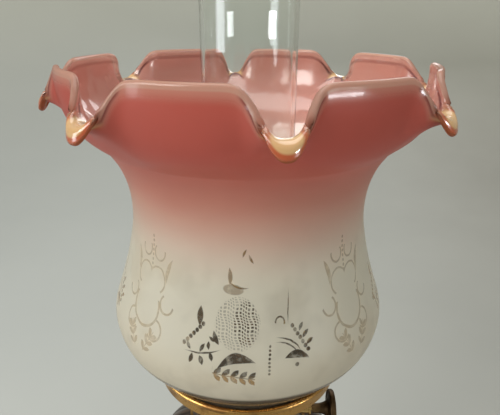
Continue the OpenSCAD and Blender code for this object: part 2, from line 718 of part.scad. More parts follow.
module shade() {
    n = shade_cols;
    m = shade_rows;
    outer = [for (i = [0:m - 1], j = [0:n - 1]) skin_point(i, column_angle(j), 1)];
    inner = [for (i = [0:m - 1], j = [0:n - 1]) skin_point(i, column_angle(j), -1)];
    lip = [for (j = [0:n - 1]) let (a = column_angle(j))
           wall_point(m - 1, a) + 0.9 * half_wall * unit(wall_point(m - 1, a) - wall_point(m - 2, a))];
    o = 0;
    q = m * n;
    l = 2 * m * n;
    faces = concat(
        [for (i = [0:m - 2], j = [0:n - 1]) let (k = (j + 1) % n)
            each [[o + i * n + j, o + (i + 1) * n + j, o + (i + 1) * n + k],
                  [o + i * n + j, o + (i + 1) * n + k, o + i * n + k],
                  [q + i * n + j, q + (i + 1) * n + k, q + (i + 1) * n + j],
                  [q + i * n + j, q + i * n + k, q + (i + 1) * n + k]]],
        [for (j = [0:n - 1]) let (k = (j + 1) % n, t = (m - 1) * n)
            each [[o + t + j, l + j, l + k], [o + t + j, l + k, o + t + k],
                  [q + t + j, l + k, l + j], [q + t + j, q + t + k, l + k],
                  [o + j, o + k, q + k], [o + j, q + k, q + j]]]);
    color([0.85, 0.55, 0.52]) polyhedron(points = concat(outer, inner, lip), faces = faces, convexity = 6);
}

base_pad();
base_plinth();
base_weight();
base_washer();
base_nut();
tie_rod();
column_foot();
column_shaft();
column_cap();
font_cup();
font();
font_collar();
burner_base();
burner_drum();
draught_plate();
wick_tube(-1);  // wick_tube_front
wick_tube(1);  // wick_tube_rear
wick(-1);  // wick_front
wick(1);  // wick_rear
winder_bushes();
winder_shaft(-1);  // winder_shaft_front
winder_shaft(1);  // winder_shaft_rear
winder_wheel(-1);  // winder_wheel_front
winder_wheel(1);  // winder_wheel_rear
spur_wheels(-1);  // spur_wheels_front
spur_wheels(1);  // spur_wheels_rear
extinguisher_sleeves();
extinguisher_bracket();
extinguisher_pin();
extinguisher_lever();
drum_screws();
gallery_skirt();
shade_gallery();
chimney_coronet();
deflector_cone();
gallery_rivets();
cone_rivets();
chimney();
shade();
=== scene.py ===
"""Finishes and fine meshes for a table oil lamp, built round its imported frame.

The frame gives every rigid part. This script dresses those parts and makes the pieces whose real surface
is finer than their solid: the frilled glass shade, the chimney, the gadrooned font, the wicks and the pad.
"""

from __future__ import annotations

import logging
import math
from dataclasses import dataclass
from enum import Enum
from functools import lru_cache
from typing import Callable, Sequence

import bmesh
import bpy
import numpy as np
from mathutils import Matrix, Vector


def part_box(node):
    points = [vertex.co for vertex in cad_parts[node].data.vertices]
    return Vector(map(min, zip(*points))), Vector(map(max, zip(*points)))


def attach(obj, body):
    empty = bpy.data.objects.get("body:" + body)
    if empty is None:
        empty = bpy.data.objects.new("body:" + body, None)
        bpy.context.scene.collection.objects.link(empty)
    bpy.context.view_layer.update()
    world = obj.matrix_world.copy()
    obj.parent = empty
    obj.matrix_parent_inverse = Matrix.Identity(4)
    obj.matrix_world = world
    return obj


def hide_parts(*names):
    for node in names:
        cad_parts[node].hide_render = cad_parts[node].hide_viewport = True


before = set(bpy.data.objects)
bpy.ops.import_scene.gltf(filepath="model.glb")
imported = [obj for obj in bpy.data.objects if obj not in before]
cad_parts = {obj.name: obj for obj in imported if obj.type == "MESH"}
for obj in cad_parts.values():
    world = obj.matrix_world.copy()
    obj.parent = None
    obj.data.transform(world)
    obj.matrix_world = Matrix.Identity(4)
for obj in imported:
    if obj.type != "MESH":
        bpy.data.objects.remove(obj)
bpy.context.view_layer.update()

Colour = tuple[float, float, float]
Point = tuple[float, float]
Number = "Value | float"
MM = 0.001
LOG = logging.getLogger("oil_lamp")


# ---------------------------------------------------------------- shader graphs


class Value:
    """A number socket of a shader graph that takes part in plain arithmetic."""

    def __init__(self, graph: Graph, socket: bpy.types.NodeSocket) -> None:
        """Keeps the socket and the graph that owns it."""
        self.graph = graph
        self.socket = socket

    def maths(self, operation: str, *others: Number, clamp: bool = False) -> Value:
        """Adds one Math node.

        Args:
            operation: the Math node's operation.
            others: the operands after this one.
            clamp: True to hold the result between 0 and 1.

        Returns:
            The node's result.
        """
        node = self.graph.node("ShaderNodeMath", {"operation": operation, "use_clamp": clamp},
                               dict(enumerate((self, *others))))
        return Value(self.graph, node.outputs[0])

    def reflected(self, operation: str, other: float) -> Value:
        """Adds one Math node with a plain number before this value."""
        node = self.graph.node("ShaderNodeMath", {"operation": operation}, {0: other, 1: self})
        return Value(self.graph, node.outputs[0])

    def __add__(self, other: Number) -> Value:
        """Sum."""
        return self.maths("ADD", other)

    def __radd__(self, other: float) -> Value:
        """Sum with a plain number first."""
        return self.reflected("ADD", other)

    def __sub__(self, other: Number) -> Value:
        """Difference."""
        return self.maths("SUBTRACT", other)

    def __rsub__(self, other: float) -> Value:
        """Difference with a plain number first."""
        return self.reflected("SUBTRACT", other)

    def __mul__(self, other: Number) -> Value:
        """Product."""
        return self.maths("MULTIPLY", other)

    def __rmul__(self, other: float) -> Value:
        """Product with a plain number first."""
        return self.reflected("MULTIPLY", other)

    def __truediv__(self, other: Number) -> Value:
        """Quotient."""
        return self.maths("DIVIDE", other)

    def __pow__(self, other: float) -> Value:
        """Power."""
        return self.maths("POWER", other)

    def __neg__(self) -> Value:
        """Negative."""
        return self.maths("MULTIPLY", -1.0)

    def __abs__(self) -> Value:
        """Magnitude."""
        return self.maths("ABSOLUTE")

    def least(self, other: Number) -> Value:
        """The lower of two values."""
        return self.maths("MINIMUM", other)

    def most(self, other: Number) -> Value:
        """The higher of two values."""
        return self.maths("MAXIMUM", other)

    def held(self) -> Value:
        """The value held between 0 and 1."""
        return self.maths("ADD", 0.0, clamp=True)

    def ramp(self, low: float, high: float) -> Value:
        """Smooth rise from 0 at low to 1 at high, or a fall where low is the greater."""
        node = self.graph.node("ShaderNodeMapRange", {"interpolation_type": "SMOOTHSTEP"},
                               {"Value": self, "From Min": low, "From Max": high})
        return Value(self.graph, node.outputs[0])

    def wave(self, period: float) -> Value:
        """Cosine of the value, 1 at every whole period."""
        return (self * (2 * math.pi / period)).maths("COSINE")


class Graph:
    """A material's nodes, added one at a time."""

    def __init__(self, name: str) -> None:
        """Makes an empty material of that name."""
        self.material = bpy.data.materials.new(name)
        self.material.use_nodes = True
        self.material.node_tree.nodes.clear()

    def node(self, kind: str, settings: dict[str, object] | None = None,
             inputs: dict[str | int, object] | None = None) -> bpy.types.Node:
        """Adds one node.

        Args:
            kind: the node's type.
            settings: its properties, set before its sockets.
            inputs: a number, a colour, a Value or a socket for each named or numbered input.

        Returns:
            The node.
        """
        made = self.material.node_tree.nodes.new(kind)
        for name, setting in (settings or {}).items():
            setattr(made, name, setting)
        for key, given in (inputs or {}).items():
            socket = made.inputs[key]
            source = given.socket if isinstance(given, Value) else given
            if isinstance(source, bpy.types.NodeSocket):
                self.material.node_tree.links.new(source, socket)
            elif isinstance(source, tuple) and len(source) == 3 and socket.type == "RGBA":
                socket.default_value = (*source, 1.0)
            else:
                socket.default_value = source
        return made

    def place(self) -> tuple[bpy.types.NodeSocket, Value, Value, Value]:
        """The surface point in the row frame, whole and as its three coordinates in metres."""
        point = self.node("ShaderNodeTexCoord").outputs["Object"]
        split = self.node("ShaderNodeSeparateXYZ", None, {0: point})
        return point, *(Value(self, out) for out in split.outputs)

    def vector(self, x: Number, y: Number, z: Number) -> bpy.types.NodeSocket:
        """A vector of three values."""
        return self.node("ShaderNodeCombineXYZ", None, {0: x, 1: y, 2: z}).outputs[0]

    def noise(self, at: bpy.types.NodeSocket, scale: float, detail: float = 3.0,
              rough: float = 0.55) -> Value:
        """Cloudy noise round 0.5 at a point.

        Args:
            at: the point.
            scale: cells to a metre.
            detail: octaves.
            rough: the finer octaves' share.

        Returns:
            The noise value.
        """
        node = self.node("ShaderNodeTexNoise", None,
                         {"Vector": at, "Scale": scale, "Detail": detail, "Roughness": rough})
        return Value(self, node.outputs[0])

    def cells(self, at: bpy.types.NodeSocket, scale: float) -> Value:
        """Distance to the nearest cell's heart, for pits and grains."""
        node = self.node("ShaderNodeTexVoronoi", None, {"Vector": at, "Scale": scale})
        return Value(self, node.outputs["Distance"])

    def drawn(self, name: str) -> Value:
        """What a mesh attribute says at the point being shaded."""
        return Value(self, self.node("ShaderNodeAttribute", {"attribute_name": name}).outputs["Fac"])

    def blend(self, share: Number, first: object, second: object) -> bpy.types.NodeSocket:
        """A colour that is first at share 0 and second at share 1."""
        return self.node("ShaderNodeMix", {"data_type": "RGBA"}, {0: share, 6: first, 7: second}).outputs[2]

    def bump(self, height: Value, depth: float, strength: float = 1.0) -> bpy.types.NodeSocket:
        """A normal bent by a height map of that depth in metres."""
        return self.node("ShaderNodeBump", None,
                         {"Height": height, "Distance": depth, "Strength": strength}).outputs[0]

    def principled(self, **sockets: object) -> bpy.types.NodeSocket:
        """A Principled shader; an underscore in a name stands for a space."""
        named = {name.replace("_", " "): given for name, given in sockets.items()}
        return self.node("ShaderNodeBsdfPrincipled", None, named).outputs[0]

    def clear(self, colour: Colour) -> bpy.types.NodeSocket:
        """A shader that light passes straight through."""
        return self.node("ShaderNodeBsdfTransparent", None, {"Color": colour}).outputs[0]

    def mirror(self, rough: float, **sockets: object) -> bpy.types.NodeSocket:
        """A white mirror of that roughness."""
        return self.node("ShaderNodeBsdfGlossy", None,
                         {"Color": (1.0, 1.0, 1.0), "Roughness": rough, **sockets}).outputs[0]

    def fresnel(self, ior: float, **sockets: object) -> Value:
        """How much a surface of that index mirrors."""
        return Value(self, self.node("ShaderNodeFresnel", None, {"IOR": ior, **sockets}).outputs[0])

    def mixed(self, share: Number, first: bpy.types.NodeSocket,
              second: bpy.types.NodeSocket) -> bpy.types.NodeSocket:
        """A shader that is first at share 0 and second at share 1."""
        return self.node("ShaderNodeMixShader", None, {0: share, 1: first, 2: second}).outputs[0]

    def finished(self, shader: bpy.types.NodeSocket) -> bpy.types.Material:
        """The material with this shader on its surface."""
        self.node("ShaderNodeOutputMaterial", None, {"Surface": shader})
        return self.material


# ---------------------------------------------------------------- finishes


@dataclass(frozen=True)
class Brass:
    """Lathe-turned brass that has aged: bright metal with tarnish clouds, grime and fine turning lines."""

    name: str
    bright: Colour = (0.66, 0.43, 0.15)
    tarnish: Colour = (0.20, 0.105, 0.04)
    age: float = 0.4
    polish: float = 0.2
    darkened_within: float = 0.0

    @lru_cache
    def material(self) -> bpy.types.Material:
        """Builds the finish."""
        graph = Graph(self.name)
        at, x, y, z = graph.place()
        cloud = graph.noise(at, 55.0, 4.0).ramp(0.68 - self.age * 0.5, 0.80 - self.age * 0.3)
        grime = graph.noise(at, 420.0, 3.0, 0.65).ramp(0.52, 0.72)
        radius = (x * x + y * y) ** 0.5
        lines = graph.noise(graph.vector(radius, 0.0, z), 2600.0, 2.0)
        worn = graph.blend(cloud * 0.85, self.bright, self.tarnish)
        # Darker, near black-brown, inside the given radius.
        if self.darkened_within > 0:
            darkened_inside = radius.ramp(self.darkened_within, self.darkened_within - 0.001)
            worn = graph.blend(darkened_inside * 0.9, worn, (0.05, 0.028, 0.014))
        colour = graph.blend(grime * 0.45, worn, self.tarnish)
        rough = self.polish + 0.20 * cloud + 0.12 * grime + 0.05 * lines
        normal = graph.bump(lines + 0.6 * grime, 0.00002, 0.6)
        return graph.finished(graph.principled(Base_Color=colour, Metallic=1.0, Roughness=rough, Normal=normal))


@dataclass(frozen=True)
class Patina:
    """Brown patinated copper: dark film that has rubbed back to copper in streaks down its ribs."""

    name: str
    film: Colour = (0.032, 0.018, 0.011)
    copper: Colour = (0.21, 0.10, 0.045)
    ribs: int = 32

    @lru_cache
    def material(self) -> bpy.types.Material:
        """Builds the finish."""
        graph = Graph(self.name)
        at, x, y, z = graph.place()
        radius = (x * x + y * y) ** 0.5 + 1e-6
        turn = y.maths("ARCTAN2", x)
        streak_at = graph.vector(x / radius, y / radius, z * 1.6)
        streaks = graph.noise(streak_at, 26.0, 5.0, 0.6).ramp(0.44, 0.68)
        crest = (turn * self.ribs).maths("COSINE") * 0.5 + 0.5
        mottle = graph.noise(at, 130.0, 5.0, 0.6)
        rubbed = (crest.ramp(0.55, 1.0) * 0.42 + streaks * 0.40) * mottle.ramp(0.30, 0.62)
        colour = graph.blend(rubbed, self.film, self.copper)
        specks = graph.cells(at, 900.0).ramp(0.16, 0.05) * mottle.ramp(0.5, 0.62)
        colour = graph.blend(specks * 0.6, colour, (0.05, 0.075, 0.05))
        rough = 0.30 + 0.22 * mottle - 0.10 * rubbed
        normal = graph.bump(mottle * 0.8 + specks, 0.00008, 0.5)
        return graph.finished(graph.principled(
            Base_Color=colour, Metallic=0.85, Roughness=rough, Normal=normal,
            Coat_Weight=0.18, Coat_Roughness=0.2))


@dataclass(frozen=True)
class Glaze:
    """Black pottery glaze with brown clouds, pinholes, dust and a faint orange peel."""

    name: str

    @lru_cache
    def material(self) -> bpy.types.Material:
        """Builds the finish."""
        graph = Graph(self.name)
        at, _, _, _ = graph.place()
        drift = graph.noise(at, 38.0, 4.0)
        brown = drift.ramp(0.50, 0.74) * 0.5
        colour = graph.blend(brown, (0.007, 0.0065, 0.007), (0.035, 0.016, 0.008))
        pinholes = graph.cells(at, 420.0).ramp(0.10, 0.03) * drift.ramp(0.46, 0.60)
        dust = graph.noise(at, 850.0, 3.0, 0.7).ramp(0.56, 0.80)
        colour = graph.blend(dust * 0.10, colour, (0.22, 0.20, 0.18))
        peel = graph.noise(at, 210.0, 2.0)
        normal = graph.bump(peel * 0.6 - pinholes * 1.5, 0.00012, 0.35)
        rough = 0.07 + 0.10 * dust + 0.25 * pinholes
        return graph.finished(graph.principled(
            Base_Color=colour, Roughness=rough, Normal=normal, IOR=1.52, Coat_Weight=0.4, Coat_Roughness=0.04))


@dataclass(frozen=True)
class Steel:
    """Turned steel or iron, dull, with rust starting in its pits."""

    name: str
    metal: Colour = (0.36, 0.35, 0.34)
    rust: Colour = (0.13, 0.05, 0.022)
    decay: float = 0.25
    metallic: float = 0.95

    @lru_cache
    def material(self) -> bpy.types.Material:
        """Builds the finish."""
        graph = Graph(self.name)
        at, _, _, _ = graph.place()
        scab = graph.noise(at, 190.0, 5.0, 0.65).ramp(0.70 - self.decay * 0.4, 0.80 - self.decay * 0.3)
        grain = graph.noise(at, 1500.0, 2.0)
        colour = graph.blend(scab, self.metal, self.rust)
        rough = 0.33 + 0.35 * scab + 0.12 * grain
        normal = graph.bump(scab * 1.5 + grain, 0.00004, 0.6)
        return graph.finished(graph.principled(
            Base_Color=colour, Metallic=self.metallic * (1.0 - scab * 0.8), Roughness=rough, Normal=normal))


@dataclass(frozen=True)
class Baize:
    """Dark green wool baize: a felted nap with lint."""

    name: str

    @lru_cache
    def material(self) -> bpy.types.Material:
        """Builds the finish."""
        graph = Graph(self.name)
        at, x, y, z = graph.place()
        nap = graph.noise(graph.vector(x, y, z * 2.0), 1900.0, 4.0, 0.7)
        worn = graph.noise(at, 60.0, 3.0).ramp(0.45, 0.75)
        colour = graph.blend(nap, (0.018, 0.045, 0.020), (0.05, 0.10, 0.045))
        colour = graph.blend(worn * 0.4, colour, (0.075, 0.095, 0.055))
        normal = graph.bump(nap, 0.0003, 0.8)
        return graph.finished(graph.principled(
            Base_Color=colour, Roughness=0.88 + 0.1 * nap, Normal=normal, Sheen_Weight=0.5, Sheen_Roughness=0.5))


@dataclass(frozen=True)
class WovenCotton:
    """A flat braided wick: ribs of cotton yarn, oily below and charred at the burning edge."""

    name: str
    edge_z: float
    yarn: float = 0.0011

    @lru_cache
    def material(self) -> bpy.types.Material:
        """Builds the finish."""
        graph = Graph(self.name)
        at, x, y, z = graph.place()
        slant = (z + x * 0.8).wave(self.yarn)
        counter = (z - x * 0.8).wave(self.yarn)
        over = (x / (self.yarn * 2)).maths("SINE")
        weave = slant.most(counter) * 0.7 + over * 0.15
        lint = graph.noise(at, 2600.0, 3.0, 0.7)
        colour = graph.blend(weave * 0.35 + lint * 0.3, (0.36, 0.30, 0.20), (0.66, 0.60, 0.47))
        stain = graph.noise(at, 90.0, 3.0).ramp(0.42, 0.7)
        colour = graph.blend(stain * 0.4, colour, (0.30, 0.20, 0.09))
        ragged = z + lint * 0.0012
        scorched = ragged.ramp(self.edge_z - 0.0060, self.edge_z - 0.0020)
        burnt = ragged.ramp(self.edge_z - 0.0030, self.edge_z - 0.0008)
        colour = graph.blend(scorched * 0.8, colour, (0.10, 0.055, 0.025))
        colour = graph.blend(burnt, colour, (0.008, 0.007, 0.006))
        normal = graph.bump(weave + 0.5 * lint, 0.00025, 0.9)
        return graph.finished(graph.principled(Base_Color=colour, Roughness=0.9, Normal=normal))


@dataclass(frozen=True)
class ClearGlass:
    """Blown clear glass that lets lamps through, with a slow ripple from the blowing."""

    name: str
    tint: Colour = (0.965, 0.985, 0.975)

    @lru_cache
    def material(self) -> bpy.types.Material:
        """Builds the finish."""
        graph = Graph(self.name)
        at, x, y, z = graph.place()
        ripple = graph.noise(graph.vector(x, y, z * 0.25), 46.0, 2.0)
        haze = graph.noise(at, 26.0, 4.0).ramp(0.45, 0.8)
        normal = graph.bump(ripple, 0.0006, 0.25)
        glass = graph.principled(Base_Color=self.tint, Roughness=0.015 + 0.03 * haze, Normal=normal, IOR=1.47,
                                 Transmission_Weight=1.0)
        through = graph.clear(self.tint)
        lamp_ray = Value(graph, graph.node("ShaderNodeLightPath").outputs["Is Shadow Ray"])
        return graph.finished(graph.mixed(lamp_ray, glass, through))


class Motif:
    """Shapes of an etched ornament, drawn on a sheet of two coordinates in millimetres."""

    def __init__(self, across: Value, up: Value, soft: float = 0.22) -> None:
        """Takes the sheet's two coordinates and how soft an etched edge is."""
        self.across = across
        self.up = up
        self.soft = soft

    def turned(self, at: tuple[float, float], lean: float) -> tuple[Value, Value]:
        """Coordinates along and across a line.

        Args:
            at: where the line starts.
            lean: its angle from the across direction, in degrees.

        Returns:
            The distance along the line and the distance to its left.
        """
        over, rise = self.across - at[0], self.up - at[1]
        cos, sin = math.cos(math.radians(lean)), math.sin(math.radians(lean))
        return over * cos + rise * sin, rise * cos - over * sin

    def inside(self, depth: Value) -> Value:
        """A mask that is 1 where depth, in millimetres, is above 0."""
        return depth.ramp(-self.soft, self.soft)

    def leaf(self, at: tuple[float, float], lean: float, length: float, width: float,
             curl: float = 0.0) -> Value:
        """A pointed leaf.

        Args:
            at: its root.
            lean: the angle that it points at, in degrees.
            length: from root to tip.
            width: across its widest place.
            curl: how far its middle is bowed to the left.

        Returns:
            Its mask.
        """
        along, off = self.turned(at, lean)
        share = (along * (2 / length) - 1.0).maths("POWER", 2.0)
        bulge = 1.0 - share
        return self.inside(bulge * (width / 2) - abs(off - bulge * curl))

    def oval(self, at: tuple[float, float], half_width: float, half_height: float,
             lean: float = 0.0) -> Value:
        """An oval's depth: 0 at its edge and rising inwards, in millimetres."""
        along, off = self.turned(at, lean)
        far = (((along / half_width) ** 2.0) + ((off / half_height) ** 2.0)) ** 0.5
        return (1.0 - far) * min(half_width, half_height)

    def arc(self, at: tuple[float, float], radius: float, width: float, gap_at: float,
            gap: float) -> Value:
        """A curl: a ring with an opening.

        Args:
            at: its centre.
            radius: of its middle line.
            width: of the line.
            gap_at: the direction of the opening, in degrees.
            gap: how deep the opening cuts, as a share of the radius.

        Returns:
            Its mask.
        """
        along, off = self.turned(at, gap_at)
        far = (along * along + off * off) ** 0.5
        ring = self.inside(width / 2 - abs(far - radius))
        return ring * self.inside(radius * (1.0 - gap) - along)

    def beads(self, at: tuple[float, float], lean: float, count: int, pitch: float,
              radius: float) -> Value:
        """A row of beads from a point.

        Args:
            at: the row's start.
            lean: its direction, in degrees.
            count: how many beads.
            pitch: from bead to bead.
            radius: of one bead.

        Returns:
            Their mask.
        """
        along, off = self.turned(at, lean)
        own = (along / pitch).maths("FRACT") * pitch - pitch / 2
        bead = self.inside(radius - (own * own + off * off) ** 0.5)
        return bead * self.inside(count * pitch / 2 - abs(along - count * pitch / 2))

    def spray(self, at: tuple[float, float], lean: float, count: int, pitch: float, length: float,
              width: float, spread: float) -> Value:
        """A stem with pairs of leaves.

        Args:
            at: the stem's foot.
            lean: the stem's direction, in degrees.
            count: pairs of leaves.
            pitch: from pair to pair.
            length: of one leaf.
            width: of one leaf.
            spread: the angle between stem and leaf, in degrees.

        Returns:
            Its mask.
        """
        along, off = self.turned(at, lean)
        own = (along / pitch).maths("FRACT") * pitch - pitch * 0.15
        side = abs(off)
        cos, sin = math.cos(math.radians(spread)), math.sin(math.radians(spread))
        far, aside = own * cos + side * sin, side * cos - own * sin
        bulge = 1.0 - (far * (2 / length) - 1.0).maths("POWER", 2.0)
        leaves = self.inside(bulge * (width / 2) - abs(aside))
        stem = self.inside(0.22 - side)
        reach = self.inside(count * pitch / 2 - abs(along - count * pitch / 2))
        return leaves.most(stem) * reach


@dataclass(frozen=True)
class RoseGlass:
    """The shade's outer skin: rose glass that fades to white satin, with clear etched ornament tinted brown as
    painted shade, a polished amber lip, painted highlights along the lobes' rims and a painted reflection of the
    brass just above the foot."""

    name: str
    foot_z: float
    bowl_r: float
    repeats: int = 4
    rose: Colour = (0.53, 0.115, 0.085)
    blush: Colour = (0.62, 0.31, 0.24)
    cream: Colour = (0.74, 0.71, 0.61)
    painted_rim_highlight: Colour = (0.62, 0.40, 0.31)
    amber: Colour = (0.46, 0.10, 0.03)
    straw: Colour = (0.66, 0.42, 0.20)
    garnet: Colour = (0.20, 0.035, 0.035)
    painted_foot_reflection: Colour = (0.24, 0.17, 0.10)
    shaded_see_through: Colour = (0.52, 0.35, 0.17)

    def sheet(self, graph: Graph, x: Value, y: Value, z: Value) -> Motif:
        """The bowl unrolled into one repeat of the ornament, in millimetres round and up."""
        wobble = graph.noise(graph.vector(x, y, z), 170.0, 2.0) - 0.5
        round_mm = x.maths("ARCTAN2", -y) * (self.bowl_r / MM) + wobble * 0.9
        period = 2 * math.pi * self.bowl_r / MM / self.repeats
        across = ((round_mm / period) + 0.5 + self.repeats).maths("FRACT") * period - period / 2
        return Motif(across, (z - self.foot_z) / MM + wobble * 0.9)

    def basket(self, motif: Motif) -> Value:
        """The woven basket: clear openings between satin threads, with a stalk and a cap."""
        body = motif.inside(motif.oval((-4.8, 68.2), 10.6, 11.4, -4.0))
        slack = motif.up.wave(9.0) * 0.35 + motif.across.wave(6.5) * 0.35
        threads = (motif.across + motif.up * 0.12 + slack).wave(1.5).most(
            (motif.up + motif.across * 0.22 + slack).wave(1.3))
        patchy = motif.inside(motif.oval((-1.0, 68.5), 5.6, 9.5))
        holes = threads.ramp(0.50, 0.10) * (0.45 + 0.55 * patchy)
        stalk = motif.leaf((-9.4, 92.0), -86.0, 7.5, 2.2, 0.3)
        curl = motif.leaf((-9.2, 86.0), -16.0, 9.6, 1.0, -1.2)
        cap = motif.inside(motif.oval((-7.3, 82.6), 5.0, 2.3, -6.0)) * 0.6
        return (body * holes).most(stalk * 0.8).most(cap).most(curl)

    def foliage(self, motif: Motif) -> Value:
        """Leaves, sprays, beads and curls round the basket."""
        drawn = motif.leaf((-13.3, 49.3), 9.9, 16.9, 4.4, 3.4)
        for at, lean, length, width, curl in (
            ((-13.3, 58.9), 114.0, 6.4, 2.3, 0.3),
            ((-14.6, 60.2), 152.0, 3.8, 1.5, 0.2),
            ((-22.9, 65.8), 91.0, 8.6, 3.0, 0.2),
            ((-28.4, 54.6), 8.0, 15.6, 0.8, -0.9),
            ((-25.4, 54.0), -102.0, 4.4, 2.0, 0.2),
            ((-21.8, 53.6), -68.0, 4.2, 2.0, 0.2),
            ((-17.2, 55.6), -70.0, 3.8, 1.9, 0.2),
            ((-26.4, 55.4), 118.0, 3.8, 1.5, 0.2),
            ((-21.6, 55.2), 62.0, 4.2, 1.7, 0.2),
            ((-17.6, 56.6), 96.0, 3.4, 1.5, 0.2),
            ((16.4, 53.2), -8.0, 11.6, 3.6, 2.0),
            ((13.8, 62.2), -33.0, 12.6, 0.8, 1.8),
            ((13.4, 60.2), -31.0, 11.4, 0.7, 1.6),
            ((19.1, 67.8), 85.0, 14.0, 0.55, 0.0),
            ((25.6, 60.4), 42.0, 4.4, 1.8, 0.2),
            ((27.4, 57.4), 30.0, 4.2, 1.8, 0.2),
            ((24.4, 63.6), 58.0, 4.0, 1.6, 0.2),
            ((2.8, 94.0), 122.0, 4.6, 1.2, 0.2),
            ((-2.8, 96.6), 62.0, 4.2, 1.1, 0.2),
        ):
            drawn = drawn.most(motif.leaf(at, lean, length, width, curl))
        drawn = drawn.most(motif.spray((-15.6, 47.0), -5.6, 5, 3.8, 5.2, 2.2, 40.0))
        drawn = drawn.most(motif.beads((-20.4, 67.7), -133.0, 7, 2.1, 0.95))
        drawn = drawn.most(motif.beads((9.2, 46.4), 86.0, 8, 1.65, 0.56))
        drawn = drawn.most(motif.beads((20.6, 67.2), -58.6, 7, 2.15, 0.95))
        drawn = drawn.most(motif.arc((15.2, 68.4), 2.2, 0.8, -100.0, 0.7))
        return drawn.most(motif.inside(motif.oval((21.9, 49.9), 0.9, 0.9)))

    def scrolls(self, motif: Motif) -> Value:
        """Curls and beaded lines on the bowl between two baskets."""
        half = math.pi * self.bowl_r / MM / self.repeats
        away = Motif(half - abs(motif.across), motif.up, motif.soft)
        drawn = away.arc((0.0, 66.0), 9.5, 1.2, 90.0, 0.55)
        for at, radius, opening, depth in (
            ((5.0, 79.0), 6.0, -120.0, 0.55),
            ((14.0, 70.0), 4.2, 60.0, 0.6),
            ((8.5, 57.0), 4.6, 150.0, 0.6),
            ((5.5, 92.0), 4.0, 80.0, 0.6),
        ):
            drawn = drawn.most(away.arc(at, radius, 0.95, opening, depth))
        drawn = drawn.most(away.beads((0.0, 82.0), 90.0, 8, 2.2, 0.75))
        drawn = drawn.most(away.spray((3.0, 45.5), 62.0, 3, 4.0, 5.2, 2.0, 40.0))
        return drawn.most(away.leaf((12.0, 79.0), 75.0, 12.0, 2.6, 1.2))

    @lru_cache
    def material(self) -> bpy.types.Material:
        """Builds the finish."""
        graph = Graph(self.name)
        at, x, y, z = graph.place()
        height = (z - self.foot_z) / MM
        drift = graph.noise(at, 22.0, 3.0) - 0.5
        lip, dip = graph.drawn("lip"), graph.drawn("dip")
        level = height + drift * 7.0
        colour = graph.blend(level.ramp(80.0, 124.0), self.cream, self.blush)
        colour = graph.blend(level.ramp(110.0, 148.0), colour, self.rose)
        dipped = dip.ramp(0.35, 0.8)
        edge = lip.ramp(6.4, 1.0)
        flank = dip.ramp(0.02, 0.12) * dip.ramp(0.8, 0.5)
        colour = graph.blend(edge * dipped * 0.9, colour, self.amber)
        colour = graph.blend(lip.ramp(4.2, 2.0) * dipped * 0.8, colour, self.straw)
        # Painted highlight: a pale beige band along the lobes' rims.
        colour = graph.blend(lip.ramp(6.0, 1.0) * (0.5 - 0.5 * dipped), colour, self.painted_rim_highlight)
        colour = graph.blend(lip.ramp(3.2, 1.2) * flank * 0.85, colour, self.garnet)
        # Painted highlight: a narrower pale beige line at the lobes' very lip.
        colour = graph.blend(lip.ramp(1.6, 0.8) * (0.75 - 0.75 * dipped), colour, self.painted_rim_highlight)
        colour = graph.blend(lip.ramp(2.0, 0.8) * dipped * 0.85, colour, self.amber)
        # Painted reflection: brown just above the foot, standing in for the dark brass ring and burner mirrored
        # in the low bowl.
        colour = graph.blend(height.ramp(33.0, 27.0) * 0.7, colour, self.painted_foot_reflection)
        colour = graph.blend(height.ramp(60.0, 36.0) * 0.12, colour, self.straw)
        motif = self.sheet(graph, x, y, z)
        etched = self.basket(motif).most(self.foliage(motif)).most(self.scrolls(motif) * 0.55)
        grain = graph.noise(at, 900.0, 3.0, 0.6)
        rubbed = graph.noise(at, 260.0, 4.0, 0.65).ramp(0.30, 0.56)
        haloed = graph.noise(at, 34.0, 3.0).ramp(0.46, 0.66) * height.ramp(100.0, 84.0) * 0.14
        clear = (etched * (0.52 + 0.42 * rubbed)).most(haloed).most(height.ramp(32.0, 29.5) * 0.72).held()
        rough = 0.36 + 0.10 * grain - 0.26 * edge
        normal = graph.bump(grain * 0.35 - etched, 0.00010, 0.5)
        satin = graph.principled(Base_Color=colour, Roughness=rough, Normal=normal, IOR=1.5,
                                 Coat_Weight=0.3, Coat_Roughness=0.07)
        glow = graph.node("ShaderNodeBsdfTranslucent", None, {"Color": colour}).outputs[0]
        frosted = graph.mixed(0.52, satin, glow)
        # The clear etched glass lets light through tinted brown: painted shade standing in for the dark burner
        # seen through it.
        shaded_see_through = graph.mixed(graph.fresnel(1.5), graph.clear(self.shaded_see_through), graph.mirror(0.06))
        return graph.finished(graph.mixed(clear, frosted, shaded_see_through))


